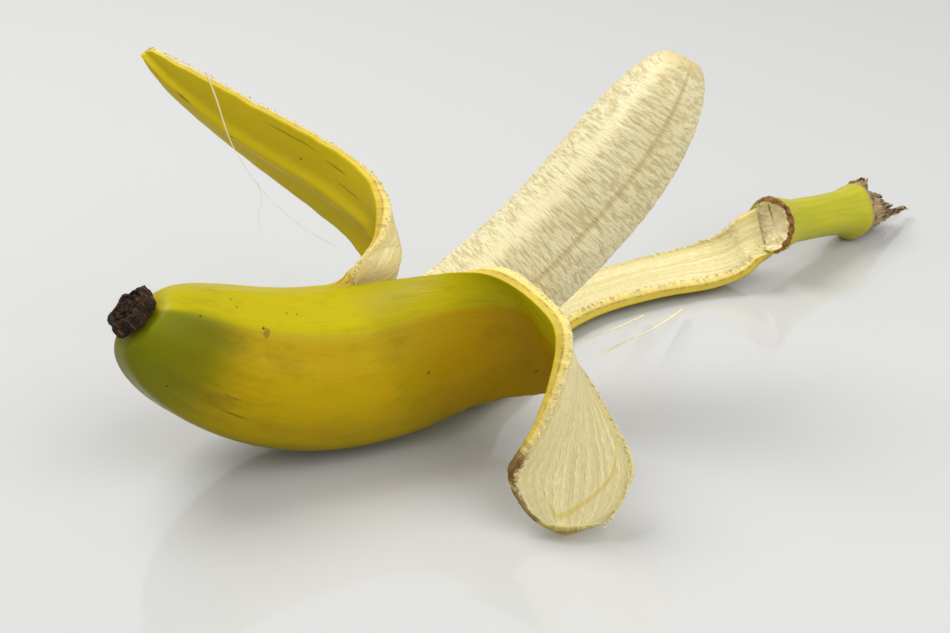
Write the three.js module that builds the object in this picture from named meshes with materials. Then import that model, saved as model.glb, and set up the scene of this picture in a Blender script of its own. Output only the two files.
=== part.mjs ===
// A half-peeled banana lying on a flat surface.
// Millimetres, +Z up. The origin is the middle of the foot of the whole thing.
import * as THREE from 'three';
import * as BufferGeometryUtils from 'three/addons/utils/BufferGeometryUtils.js';

// ---- Spine: two arcs in one leaning plane, through the belly that rests on the surface ----
const SPINE_HEADING = 21;       // degrees, the way the fruit lies, seen from above
const SPINE_LEAN = 4;           // degrees that the plane of the arcs leans away from the near side
const BODY_BEND = 57;           // radius of the arc through the unpeeled half
const PULP_BEND = 153;          // radius of the flatter arc through the bare half
const BLOSSOM_REACH = 51.5;     // along the spine, from the belly back to the blossom end
const BLOSSOM_SWAY = 6;         // sideways bend of the blossom end towards the near side
const SWAY_START = 25;          // along the spine, from the belly back to where the sway begins
const BEND_CHANGE = 31;         // along the spine, from the belly to where the arcs meet
const PULP_REACH = 103.5;       // along the spine, from the belly to the tip of the pulp

// ---- Peel ----
const SKIN_RADIUS = 17.7;
const SKIN_WALL = 3.5;
const BLOSSOM_CAP_RADIUS = 5.4; // the small flat the dried flower sits on
const BLOSSOM_TAPER = 51;       // length of the rounding at the blossom end
const RIDGE_TURNS = [53, 125, 195, 262, 308];
const RIDGE_WIDTH = 17;         // degrees
const RIDGE_SHARE = 0.055;      // height of a ridge as a share of the radius

// ---- Pulp ----
const PULP_GAP = 0.7;           // clearance inside the peel
const PULP_START_LENGTH = 12;   // length of the rounding at its hidden end
const PULP_RADIUS = 12.3;       // of the bare half
const PULP_TIP_LENGTH = 34;
const PULP_TIP_RADIUS = 2.6;

// ---- Stem ----
const STEM_HEADING = 43;        // degrees, seen from above
const STEM_DROP = 11;           // degrees below level
const STEM_RADIUS = 5.8;
const STEM_LENGTH = 37;
const COLLAR_RADIUS = 7.4;
const FLARE_RADIUS = 7.2;
const DRY_END_LENGTH = 18;
const COLLAR_GAP = 0.4;         // clearance to the end of the strip that it grew with

// ---- Dried flower ----
const BLOSSOM_RADIUS = 5.2;
const BLOSSOM_HEIGHT = 3.6;
const BLOSSOM_LOBES = 6;

// ---- Loose strings ----
const STRING_WIDTH = 0.7;

// ---- Fineness of the solids ----
const STEPS_AROUND = 36;
const STEPS_CUP = 12;
const STEPS_STRIP = 22;
const STEPS_WALL = 1;

const degrees = THREE.MathUtils.degToRad;
const smooth = (value) => THREE.MathUtils.smoothstep(value, 0, 1);
const point = (x, y, z) => new THREE.Vector3(x, y, z);

// The fruit's own directions at the belly.
const AHEAD = point(Math.cos(degrees(SPINE_HEADING)), Math.sin(degrees(SPINE_HEADING)), 0);
const LEVEL_SIDE = point(Math.sin(degrees(SPINE_HEADING)), -Math.cos(degrees(SPINE_HEADING)), 0);
const UP = point(0, 0, 1);
const SIDE = LEVEL_SIDE.clone().applyAxisAngle(AHEAD, -degrees(SPINE_LEAN));
const RISE = UP.clone().applyAxisAngle(AHEAD, -degrees(SPINE_LEAN));

// Centre and directions of the spine at a distance along it from the belly.
function spineAt(distance) {
  const inBody = Math.min(distance, BEND_CHANGE);
  const inPulp = Math.max(distance - BEND_CHANGE, 0);
  const bodyAngle = inBody / BODY_BEND;
  const angle = bodyAngle + inPulp / PULP_BEND;
  const forward = BODY_BEND * Math.sin(bodyAngle)
    + PULP_BEND * (Math.sin(angle) - Math.sin(bodyAngle));
  const rise = BODY_BEND * (1 - Math.cos(bodyAngle))
    + PULP_BEND * (Math.cos(bodyAngle) - Math.cos(angle));
  const swayed = Math.max(-distance - SWAY_START, 0) / (BLOSSOM_REACH - SWAY_START);
  const centre = point(0, 0, SKIN_RADIUS)
    .addScaledVector(AHEAD, forward)
    .addScaledVector(RISE, rise)
    .addScaledVector(SIDE, BLOSSOM_SWAY * swayed ** 2);
  const along = AHEAD.clone().multiplyScalar(Math.cos(angle)).addScaledVector(RISE, Math.sin(angle));
  const inward = RISE.clone().multiplyScalar(Math.cos(angle)).addScaledVector(AHEAD, -Math.sin(angle));
  return { centre, along, inward };
}

// A point beside the spine: turn 0 is the near side, 90 the inside of the bend, 180 the far side.
function besideSpine(distance, turn, radius) {
  const { centre, inward } = spineAt(distance);
  return centre
    .addScaledVector(SIDE, radius * Math.cos(degrees(turn)))
    .addScaledVector(inward, radius * Math.sin(degrees(turn)));
}

// The five soft ridges that run the length of the skin.
function ridgeAt(turn) {
  let height = 0;
  for (const ridge of RIDGE_TURNS) {
    const away = THREE.MathUtils.euclideanModulo(turn - ridge + 180, 360) - 180;
    height += Math.exp(-((away / RIDGE_WIDTH) ** 2));
  }
  return 1 + RIDGE_SHARE * (height - 0.6);
}

// Outer radius of the skin: rounded down to a small flat at the blossom end.
function skinRadius(distance, turn) {
  const share = THREE.MathUtils.clamp((distance + BLOSSOM_REACH) / BLOSSOM_TAPER, 0, 1);
  const round = Math.sqrt(1 - (1 - share) ** 2.2);
  const full = SKIN_RADIUS * ridgeAt(turn);
  return BLOSSOM_CAP_RADIUS + (full - BLOSSOM_CAP_RADIUS) * round;
}

// ---- Tears: where each starts, as a turn round the fruit and a distance along it ----
const TEARS = [
  { turn: 110, start: -5 },
  { turn: 205, start: -8 },
  { turn: 308, start: 15 },
];

// Distance along the spine of the line that the strips grow from, at a turn.
function rootAt(turn) {
  for (let i = 0; i < TEARS.length; i += 1) {
    const from = TEARS[i];
    const to = TEARS[(i + 1) % TEARS.length];
    const span = THREE.MathUtils.euclideanModulo(to.turn - from.turn, 360);
    const along = THREE.MathUtils.euclideanModulo(turn - from.turn, 360);
    if (along <= span) {
      return THREE.MathUtils.lerp(from.start, to.start, Math.sqrt(along / span));
    }
  }
  return TEARS[0].start;
}

// ---- Strips. Each has three guide lines: its first edge, its middle and its second edge. ----
// near: distance along the spine, turn, height over the skin. far: x and y from the belly, z.
const near = (distance, turn, lift) => (
  besideSpine(distance, turn, skinRadius(distance, turn) + lift)
);
const far = (x, y, z) => point(x, y, z);

const STRIPS = {
  front: {
    fromTurn: -52,
    toTurn: 110,
    blend: 0.14,
    stations: [
      [near(24, -42, 3.6), near(24, 29, 0.8), near(18, 84, 0.2)],
      [near(31, -40, 9), near(37, 8, 7), near(36, 42, 4.8)],
      [far(46.2, -6.8, 15.5), far(42.2, -14.3, 31.5), far(39.7, -15.8, 41.3)],
      [far(47.2, -11.3, 20.5), far(45, -18.8, 29.5), far(43.7, -24.3, 39)],
      [far(50, -18, 22.5), far(46.6, -24.1, 25), far(42.2, -29.8, 30.5)],
      [far(56.4, -25.8, 18.5), far(47.6, -28.8, 17.5), far(38.2, -32.6, 20.5)],
      [far(60.5, -31.5, 12), far(47.5, -33.3, 9.5), far(34, -33.9, 12.5)],
      [far(57.7, -36.5, 5), far(47, -37.3, 3.2), far(36.8, -36.6, 5)],
      [far(52.7, -38.6, 1.3), far(46.5, -39.8, 0.2), far(41.5, -39.4, 1.2)],
    ],
  },
  rear: {
    fromTurn: 110,
    toTurn: 205,
    blend: 0.16,
    stations: [
      [far(-2.6, 16.5, 30.1), near(7, 155, 3.5), near(4, 205, 3)],
      [far(1.2, 19.5, 33.4), far(7.7, 22.5, 31.4), far(2.2, 27, 22.5)],
      [far(4.7, 22.6, 38.8), far(7.1, 27, 33.2), far(1.2, 31, 27.2)],
      [far(5.4, 27, 43.7), far(3.6, 31, 37.4), far(-2.2, 36, 30.4)],
      [far(3.8, 31.5, 47.8), far(-1.8, 35.5, 40.3), far(-8, 41, 33.7)],
      [far(-2.7, 37.5, 51.7), far(-9.6, 40, 44.3), far(-16.3, 45, 38.8)],
      [far(-20.3, 42.5, 60.3), far(-27.1, 45, 53.7), far(-32.3, 50, 50.4)],
      [far(-38.2, 47.5, 68.5), far(-41.4, 49, 64.3), far(-43.8, 52.5, 60.6)],
      [far(-47.2, 51.5, 71.8), far(-48.3, 52, 70.6), far(-49.9, 54, 68.4)],
    ],
  },
  stemSide: {
    fromTurn: 205,
    toTurn: 308,
    blend: 0.16,
    stations: [
      [far(3.7, 23.2, 8), far(17.2, 10.2, 0.5), far(33, 8.5, 4)],
      [far(18.7, 35.2, 5), far(30.7, 23.7, 0), far(41.7, 20.7, 2.8)],
      [far(33.7, 51.7, 3), far(42.7, 42.7, 0), far(48.7, 39.7, 2.8)],
      [far(49.7, 67.2, 2.6), far(55.2, 57.7, 0), far(58.7, 51.2, 2.8)],
      [far(68.7, 79.2, 2.6), far(72.2, 69.2, 0), far(74.2, 60.2, 2.8)],
      [far(84.7, 85.2, 5), far(87.7, 75.2, 0.4), far(89.7, 66, 3)],
      [far(93.2, 84.2, 11), far(96.7, 76.2, 3.5), far(97.7, 68.2, 6)],
      [far(98.2, 80.7, 19), far(101.2, 75.7, 8), far(102.2, 69.7, 11.5)],
    ],
  },
};

// The first and last turn of a strip and its root points, put before its stations.
function guideLines(strip) {
  const turns = [strip.fromTurn, (strip.fromTurn + strip.toTurn) / 2, strip.toTurn];
  const roots = turns.map((turn) => near(rootAt(turn), turn, 0));
  return roots.map((root, column) => new THREE.CatmullRomCurve3(
    [root, ...strip.stations.map((row) => row[column])],
    false,
    'centripetal',
  ));
}

// A point of the strip's outer face from its guide lines; across and along run from 0 to 1.
function ribbonPoint(guides, across, along) {
  const clamped = THREE.MathUtils.clamp(along, 0, 1);
  const [first, middle, second] = guides.map((guide) => guide.getPoint(clamped));
  return first.multiplyScalar((1 - across) * (1 - 2 * across))
    .addScaledVector(middle, 4 * across * (1 - across))
    .addScaledVector(second, across * (2 * across - 1));
}

// Outward direction of the ribbon's face.
function ribbonNormal(guides, across, along) {
  const step = 0.01;
  const a0 = Math.max(across - step, 0);
  const a1 = Math.min(across + step, 1);
  const v0 = Math.max(along - step, 0);
  const v1 = Math.min(along + step, 1);
  const acrossWay = ribbonPoint(guides, a1, along).sub(ribbonPoint(guides, a0, along));
  const alongWay = ribbonPoint(guides, across, v1).sub(ribbonPoint(guides, across, v0));
  return alongWay.cross(acrossWay).normalize();
}

// A point of a strip: it leaves the round of the skin and eases over into its ribbon.
function stripPoint(strip, guides, across, along, depth) {
  const turn = THREE.MathUtils.lerp(strip.fromTurn, strip.toTurn, across);
  const reach = guides[1].getLength() * along;
  const distance = rootAt(turn) + reach;
  const onSkin = besideSpine(distance, turn, skinRadius(distance, turn) - depth);
  const onRibbon = ribbonPoint(guides, across, along)
    .addScaledVector(ribbonNormal(guides, across, along), -depth);
  return aboveSurface(onSkin.lerp(onRibbon, smooth(along / strip.blend)), depth);
}

// Skin that would sink into the surface is pressed flat on it.
function aboveSurface(place, depth) {
  place.z = Math.max(place.z, depth);
  return place;
}

// ---- Sheets: grids of points, joined into closed solids ----

// A grid whose points are placed by a function of two shares from 0 to 1.
function panel(columns, rows, place, turnedOver = false) {
  const geometry = new THREE.PlaneGeometry(1, 1, columns, rows);
  const grid = geometry.attributes.position;
  for (let i = 0; i < grid.count; i += 1) {
    const share = point(grid.getX(i) + 0.5, grid.getY(i) + 0.5, 0);
    const placed = place(share.x, share.y);
    grid.setXYZ(i, placed.x, placed.y, placed.z);
  }
  if (turnedOver) {
    const order = geometry.index;
    for (let i = 0; i < order.count; i += 3) {
      const first = order.getX(i);
      order.setX(i, order.getX(i + 1));
      order.setX(i + 1, first);
    }
  }
  geometry.deleteAttribute('normal');
  geometry.deleteAttribute('uv');
  return geometry;
}

// Joins panels edge to edge into one closed solid, and drops the triangles that shrank to a line.
function closedSolid(panels) {
  const joined = BufferGeometryUtils.mergeVertices(
    BufferGeometryUtils.mergeGeometries(panels),
    1e-3,
  );
  const kept = [];
  const order = joined.index;
  for (let i = 0; i < order.count; i += 3) {
    const corners = [order.getX(i), order.getX(i + 1), order.getX(i + 2)];
    if (new Set(corners).size === 3) {
      kept.push(...corners);
    }
  }
  joined.setIndex(kept);
  joined.computeVertexNormals();
  return joined;
}

// ---- Peel: a cup round the blossom half, and three strips ----
function peelGeometry() {
  const layers = [0, SKIN_WALL];
  const panels = [];
  const first = STRIPS.front.fromTurn;
  for (const depth of layers) {
    const turnedOver = depth === 0;
    for (const strip of Object.values(STRIPS)) {
      const span = strip.toTurn - strip.fromTurn;
      const columns = Math.round(STEPS_AROUND * span / 360);
      const guides = guideLines(strip);
      const cup = (across, along) => {
        const turn = THREE.MathUtils.lerp(strip.fromTurn, strip.toTurn, across);
        const start = -BLOSSOM_REACH + depth;
        const distance = THREE.MathUtils.lerp(start, rootAt(turn), along ** 1.6);
        const radius = Math.max(skinRadius(distance - depth * (1 - along), turn) - depth, 0);
        return aboveSurface(besideSpine(distance, turn, radius), depth);
      };
      const cap = (across, along) => {
        const middle = besideSpine(-BLOSSOM_REACH + depth, first, 0);
        return middle.lerp(cup(across, 0), along);
      };
      const free = (across, along) => stripPoint(strip, guides, across, along, depth);
      panels.push(panel(columns, 1, cap, turnedOver));
      panels.push(panel(columns, STEPS_CUP, cup, turnedOver));
      panels.push(panel(columns, STEPS_STRIP, free, turnedOver));
    }
  }
  for (const strip of Object.values(STRIPS)) {
    const guides = guideLines(strip);
    const span = strip.toTurn - strip.fromTurn;
    const columns = Math.round(STEPS_AROUND * span / 360);
    const through = (across, along, share) => (
      stripPoint(strip, guides, across, along, SKIN_WALL * share)
    );
    const straight = (across, along, share) => (
      through(across, along, 0).lerp(through(across, along, 1), share)
    );
    panels.push(panel(STEPS_WALL, STEPS_STRIP, (x, y) => straight(0, y, x)));
    panels.push(panel(STEPS_WALL, STEPS_STRIP, (x, y) => straight(1, y, x), true));
    panels.push(panel(columns, STEPS_WALL, (x, y) => straight(x, 1, y), true));
  }
  return closedSolid(panels);
}

// ---- Pulp ----
function pulpRadius(distance, turn) {
  const inCup = skinRadius(distance, turn) - SKIN_WALL - PULP_GAP;
  const bare = PULP_RADIUS * ridgeAt(turn);
  const leaving = smooth((distance - TEARS[1].start) / 25);
  const body = THREE.MathUtils.lerp(inCup, Math.min(bare, inCup), leaving);
  const left = THREE.MathUtils.clamp((PULP_REACH - distance) / PULP_TIP_LENGTH, 0, 1);
  const tip = Math.sqrt(1 - (1 - left) ** 2);
  return PULP_TIP_RADIUS + (body - PULP_TIP_RADIUS) * tip;
}

function pulpGeometry() {
  const start = -BLOSSOM_REACH + SKIN_WALL * 2 + PULP_GAP;
  const side = (across, along) => {
    const turn = 360 * across;
    const eased = 0.5 - 0.5 * Math.cos(Math.PI * along);
    const distance = THREE.MathUtils.lerp(start, PULP_REACH, THREE.MathUtils.lerp(along, eased, 0.5));
    const begun = Math.min((distance - start) / PULP_START_LENGTH, 1);
    const radius = pulpRadius(distance, turn) * Math.sqrt(1 - 0.8 * (1 - begun) ** 2);
    return besideSpine(distance, turn, radius);
  };
  const end = (at, middle) => (across, along) => (
    besideSpine(middle, 0, 0).lerp(side(across, at), along)
  );
  return closedSolid([
    panel(28, 30, side, true),
    panel(28, 1, end(0, start), true),
    panel(28, 1, end(1, PULP_REACH)),
  ]);
}

// ---- Round pieces on a straight axis, with lobes ----
function roundSolid(base, axis, profile, columns, lobe) {
  const across = Math.abs(axis.z) > 0.9 ? AHEAD : UP;
  const left = new THREE.Vector3().crossVectors(axis, across).normalize();
  const over = new THREE.Vector3().crossVectors(left, axis).normalize();
  const outline = (turnShare, along) => {
    const step = along * (profile.length - 1);
    const index = Math.min(Math.floor(step), profile.length - 2);
    const [radiusA, heightA] = profile[index];
    const [radiusB, heightB] = profile[index + 1];
    const rest = step - index;
    const turn = 2 * Math.PI * turnShare;
    const plain = THREE.MathUtils.lerp(radiusA, radiusB, rest);
    const height = THREE.MathUtils.lerp(heightA, heightB, rest);
    const { wide, tall } = lobe(turn, index + rest);
    return base.clone()
      .addScaledVector(left, plain * wide * Math.cos(turn))
      .addScaledVector(over, plain * wide * Math.sin(turn))
      .addScaledVector(axis, height + tall);
  };
  return closedSolid([panel(columns, profile.length - 1, outline, true)]);
}

function stemAxis() {
  const level = Math.cos(degrees(STEM_DROP));
  return point(
    level * Math.cos(degrees(STEM_HEADING)),
    level * Math.sin(degrees(STEM_HEADING)),
    -Math.sin(degrees(STEM_DROP)),
  );
}

// Middle of the collar, just past the end of the strip that it grows from.
function collarMiddle() {
  const last = STRIPS.stemSide.stations.at(-1);
  return last[0].clone().add(last[2]).multiplyScalar(0.5)
    .addScaledVector(stemAxis(), COLLAR_GAP + SKIN_WALL);
}

function stemGeometry() {
  const profile = [
    [0, 1.6],
    [COLLAR_RADIUS - 2.4, 1.2],
    [COLLAR_RADIUS - 1, 0],
    [COLLAR_RADIUS, 0.8],
    [COLLAR_RADIUS - 0.6, 3],
    [STEM_RADIUS, 7],
    [STEM_RADIUS, STEM_LENGTH * 0.35],
    [STEM_RADIUS, STEM_LENGTH * 0.7],
    [FLARE_RADIUS - 0.6, STEM_LENGTH - 3],
    [FLARE_RADIUS, STEM_LENGTH],
    [FLARE_RADIUS - 1.4, STEM_LENGTH + DRY_END_LENGTH * 0.25],
    [FLARE_RADIUS - 2.2, STEM_LENGTH + DRY_END_LENGTH * 0.6],
    [FLARE_RADIUS - 4, STEM_LENGTH + DRY_END_LENGTH * 0.9],
    [0, STEM_LENGTH + DRY_END_LENGTH * 0.7],
  ];
  const dryFrom = 9;
  const lobe = (turn, row) => {
    const dry = THREE.MathUtils.clamp((row - dryFrom) / 2, 0, 1);
    const facet = 0.03 * Math.cos(4 * turn + 0.6);
    const ragged = 0.22 * Math.cos(5 * turn) + 0.12 * Math.cos(3 * turn + 1);
    const last = row > profile.length - 1.5 ? 0 : 1;
    return {
      wide: 1 + facet * (1 - dry) + ragged * dry,
      tall: last * dry * (1.6 * Math.cos(3 * turn + 0.4) + 0.8 * Math.cos(7 * turn)),
    };
  };
  return roundSolid(collarMiddle(), stemAxis(), profile, 20, lobe);
}

// ---- Dried flower at the blossom end ----
function blossomGeometry() {
  const { along } = spineAt(-BLOSSOM_REACH);
  const base = besideSpine(-BLOSSOM_REACH - PULP_GAP, 0, 0);
  const profile = [
    [0, 0],
    [BLOSSOM_RADIUS * 0.94, 0],
    [BLOSSOM_RADIUS, BLOSSOM_HEIGHT * 0.4],
    [BLOSSOM_RADIUS * 0.9, BLOSSOM_HEIGHT * 0.85],
    [BLOSSOM_RADIUS * 0.62, BLOSSOM_HEIGHT],
    [BLOSSOM_RADIUS * 0.34, BLOSSOM_HEIGHT * 0.7],
    [0, BLOSSOM_HEIGHT * 0.8],
  ];
  const lobe = (turn, row) => ({
    wide: 1 + (row > 1 ? 0.09 : 0.03) * Math.cos(BLOSSOM_LOBES * turn),
    tall: 0,
  });
  return roundSolid(base, along.clone().negate(), profile, 24, lobe);
}

// ---- Loose strings, as places from the belly ----
const STRINGS = {
  string_long: [
    [-33.1, 42.6, 69.7], [-31.2, 42.5, 63.7], [-28.7, 41.6, 54.3], [-27.3, 41, 50.9],
    [-21.3, 38.5, 42], [-12.5, 34, 35.2], [-3.9, 31, 31],
  ],
  string_branch: [
    [-22.1, 38, 44], [-21.3, 37, 40.1], [-22.3, 36, 36.8], [-21.4, 35, 34],
  ],
  string_low_1: [[79.5, 55, 2.4], [71, 37, 7], [62, 17, 14], [54.5, -3, 21.5]],
  string_low_2: [[69.5, 52, 2.2], [63, 37, 7.5], [57, 21, 14], [52, 4, 21.5]],
};

function stringGeometry(route) {
  const path = new THREE.CatmullRomCurve3(route.map((place) => point(...place)));
  const section = new THREE.Shape();
  section.absarc(0, 0, STRING_WIDTH / 2, 0, 2 * Math.PI, false);
  const tube = new THREE.ExtrudeGeometry(section, {
    steps: route.length * 3,
    curveSegments: 6,
    extrudePath: path,
    bevelEnabled: false,
  });
  tube.deleteAttribute('normal');
  tube.deleteAttribute('uv');
  return closedSolid([tube]);
}

// ---- Materials and the whole ----
function material(color, roughness) {
  return new THREE.MeshStandardMaterial({ color, roughness, metalness: 0 });
}

function piece(name, geometry, finish) {
  const mesh = new THREE.Mesh(geometry, finish);
  mesh.name = name;
  return mesh;
}

const banana = new THREE.Group();
banana.add(piece('peel', peelGeometry(), material(0xb7a51c, 0.45)));
banana.add(piece('pulp', pulpGeometry(), material(0xeadfae, 0.6)));
banana.add(piece('stem', stemGeometry(), material(0xa9b02f, 0.5)));
banana.add(piece('blossom_tip', blossomGeometry(), material(0x1d140d, 0.85)));
for (const [name, route] of Object.entries(STRINGS)) {
  banana.add(piece(name, stringGeometry(route), material(0xe9e2bd, 0.6)));
}

// The origin is the middle of the foot of the whole thing.
const extent = new THREE.Box3().setFromObject(banana);
const middle = extent.getCenter(point(0, 0, 0));
banana.position.set(-middle.x, -middle.y, -extent.min.z);

export default banana;
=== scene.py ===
"""A half-peeled banana lying on a pale glossy table.

The peel, the pulp, the stem with its collar and dry end, the dried flower and the loose strings are
each built round the same spine as the solids that they stand for. Sizes are in millimetres from the
belly, the point that the unpeeled half rests on, and become metres when a mesh is placed.
"""

import math

import bmesh
import bpy
import numpy as np
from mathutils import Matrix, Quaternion, Vector, noise


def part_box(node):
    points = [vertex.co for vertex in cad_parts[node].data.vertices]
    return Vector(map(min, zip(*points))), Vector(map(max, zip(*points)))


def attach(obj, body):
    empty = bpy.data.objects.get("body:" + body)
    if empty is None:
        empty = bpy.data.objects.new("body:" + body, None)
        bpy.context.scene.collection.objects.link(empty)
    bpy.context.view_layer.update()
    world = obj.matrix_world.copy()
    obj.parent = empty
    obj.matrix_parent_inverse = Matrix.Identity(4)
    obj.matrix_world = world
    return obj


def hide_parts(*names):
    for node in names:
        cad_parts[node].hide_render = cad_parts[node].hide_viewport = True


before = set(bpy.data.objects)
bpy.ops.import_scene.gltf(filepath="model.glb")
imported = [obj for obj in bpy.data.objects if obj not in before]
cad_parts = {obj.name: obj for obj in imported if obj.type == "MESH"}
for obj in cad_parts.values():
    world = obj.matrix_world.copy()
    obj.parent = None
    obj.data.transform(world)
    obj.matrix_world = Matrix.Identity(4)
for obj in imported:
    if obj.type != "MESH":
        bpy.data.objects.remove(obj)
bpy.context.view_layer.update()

# ---- Where the belly is: the pulp's low corner lies this far from it ----
MM = 0.001
PULP_CORNER = (-39.079, -21.339)
pulp_low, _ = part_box("pulp")
BELLY = np.array([pulp_low.x - PULP_CORNER[0] * MM, pulp_low.y - PULP_CORNER[1] * MM, 0.0])

# ---- Camera ----
CAMERA_PLACE = (27.75, -350.8, 216.0)
CAMERA_TILT = 28.0
CAMERA_LENS = 70.0
CAMERA_SENSOR_WIDTH = 36.0
camera_data = bpy.data.cameras.new("camera")
camera_data.lens = CAMERA_LENS
camera_data.sensor_width = CAMERA_SENSOR_WIDTH
camera_data.clip_start = 0.01
camera = bpy.data.objects.new("camera", camera_data)
camera.location = BELLY + np.array(CAMERA_PLACE) * MM
camera.rotation_euler = (math.radians(90.0 - CAMERA_TILT), 0.0, 0.0)
bpy.context.collection.objects.link(camera)
bpy.context.scene.camera = camera
bpy.context.scene.view_settings.view_transform = "Standard"

# ---- Sizes of the fruit ----
SPINE_HEADING = 21.0
SPINE_LEAN = 4.0
BODY_BEND = 57.0
PULP_BEND = 153.0
BLOSSOM_REACH = 51.5
BLOSSOM_SWAY = 6.0
SWAY_START = 25.0
BEND_CHANGE = 31.0
PULP_REACH = 103.5
SKIN_RADIUS = 17.7
SKIN_WALL = 3.5
BLOSSOM_CAP_RADIUS = 5.4
BLOSSOM_TAPER = 51.0
BLOSSOM_FULLNESS = 2.2
RIDGE_TURNS = (47.0, 125.0, 195.0, 262.0, 308.0)
RIDGE_WIDTH = 12.0
RIDGE_SHARE = 0.075
PULP_RADIUS = 12.3
PULP_TIP_LENGTH = 34.0
PULP_TIP_RADIUS = 2.6
PULP_GAP = 0.7
PULP_RIDGE_SHARE = 0.055
STEM_HEADING = 43.0
STEM_DROP = 11.0
STEM_LENGTH = 37.0
STEM_RADIUS = 5.8
COLLAR_RADIUS = 7.4
COLLAR_GAP = 0.4
FLARE_RADIUS = 7.2
BLOSSOM_RADIUS = 5.2
BLOSSOM_HEIGHT = 3.6
FLOWER_GAP = 0.7

heading = math.radians(SPINE_HEADING)
AHEAD = Vector((math.cos(heading), math.sin(heading), 0.0))
lean = Quaternion(AHEAD, -math.radians(SPINE_LEAN))
SIDE = np.array(lean @ Vector((math.sin(heading), -math.cos(heading), 0.0)))
RISE = np.array(lean @ Vector((0.0, 0.0, 1.0)))
AHEAD = np.array(AHEAD)


def spine_at(distance):
    """Centre, direction along and direction to the inside of the bend, at distances from the belly."""
    distance = np.asarray(distance, float)
    body_angle = np.minimum(distance, BEND_CHANGE) / BODY_BEND
    angle = body_angle + np.maximum(distance - BEND_CHANGE, 0.0) / PULP_BEND
    forward = BODY_BEND * np.sin(body_angle) + PULP_BEND * (np.sin(angle) - np.sin(body_angle))
    rise = BODY_BEND * (1 - np.cos(body_angle)) + PULP_BEND * (np.cos(body_angle) - np.cos(angle))
    swayed = np.maximum(-distance - SWAY_START, 0.0) / (BLOSSOM_REACH - SWAY_START)
    centre = np.outer(forward, AHEAD) + np.outer(rise, RISE) + np.outer(BLOSSOM_SWAY * swayed ** 2, SIDE)
    centre[:, 2] += SKIN_RADIUS
    along = np.outer(np.cos(angle), AHEAD) + np.outer(np.sin(angle), RISE)
    inward = np.outer(np.cos(angle), RISE) - np.outer(np.sin(angle), AHEAD)
    return centre, along, inward


def beside_spine(distance, turn, radius):
    """Points beside the spine: turn 0 is the near side, 90 the inside of the bend, 180 the far side."""
    centre, _, inward = spine_at(distance)
    turn = np.radians(turn)
    return (
        centre
        + np.outer(radius * np.cos(turn), SIDE)
        + inward * (radius * np.sin(turn))[:, None]
    )


def ridge_at(turn, share=RIDGE_SHARE):
    height = 0.0
    for ridge in RIDGE_TURNS:
        away = (turn - ridge + 180.0) % 360.0 - 180.0
        height = height + np.exp(-((away / RIDGE_WIDTH) ** 2))
    return 1 + share * (height - 0.6)


def skin_radius(distance, turn):
    share = np.clip((distance + BLOSSOM_REACH) / BLOSSOM_TAPER, 0.0, 1.0)
    rounded = np.sqrt(1 - (1 - share) ** BLOSSOM_FULLNESS)
    return BLOSSOM_CAP_RADIUS + (SKIN_RADIUS * ridge_at(turn) - BLOSSOM_CAP_RADIUS) * rounded


def smooth(value):
    value = np.clip(value, 0.0, 1.0)
    return value * value * (3 - 2 * value)


def waver(value, seed, lengths):
    """A smooth line that wanders between about -1 and 1, with the given wave lengths in millimetres."""
    phases = np.random.RandomState(seed).uniform(0, 2 * math.pi, len(lengths))
    waves = [np.sin(2 * math.pi * value / length + phase) for length, phase in zip(lengths, phases)]
    return sum(waves) / len(lengths) ** 0.7


# ---- Tears, as (turn, distance where it starts) ----
TEARS = ((110.0, -5.0), (205.0, -8.0), (308.0, 15.0))


def root_at(turn):
    """Distance along the spine of the line that the strips grow from."""
    turn = np.asarray(turn, float)
    found = np.zeros_like(turn)
    for i, (from_turn, from_start) in enumerate(TEARS):
        to_turn, to_start = TEARS[(i + 1) % len(TEARS)]
        span = (to_turn - from_turn) % 360.0
        along = (turn - from_turn) % 360.0
        inside = along <= span
        eased = np.sqrt(np.clip(along / span, 0.0, 1.0))
        found = np.where(inside, from_start + (to_start - from_start) * eased, found)
    return found


def near(distance, turn, lift):
    d, t = np.array([float(distance)]), np.array([float(turn)])
    return tuple(beside_spine(d, t, skin_radius(d, t) + lift)[0])


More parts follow.
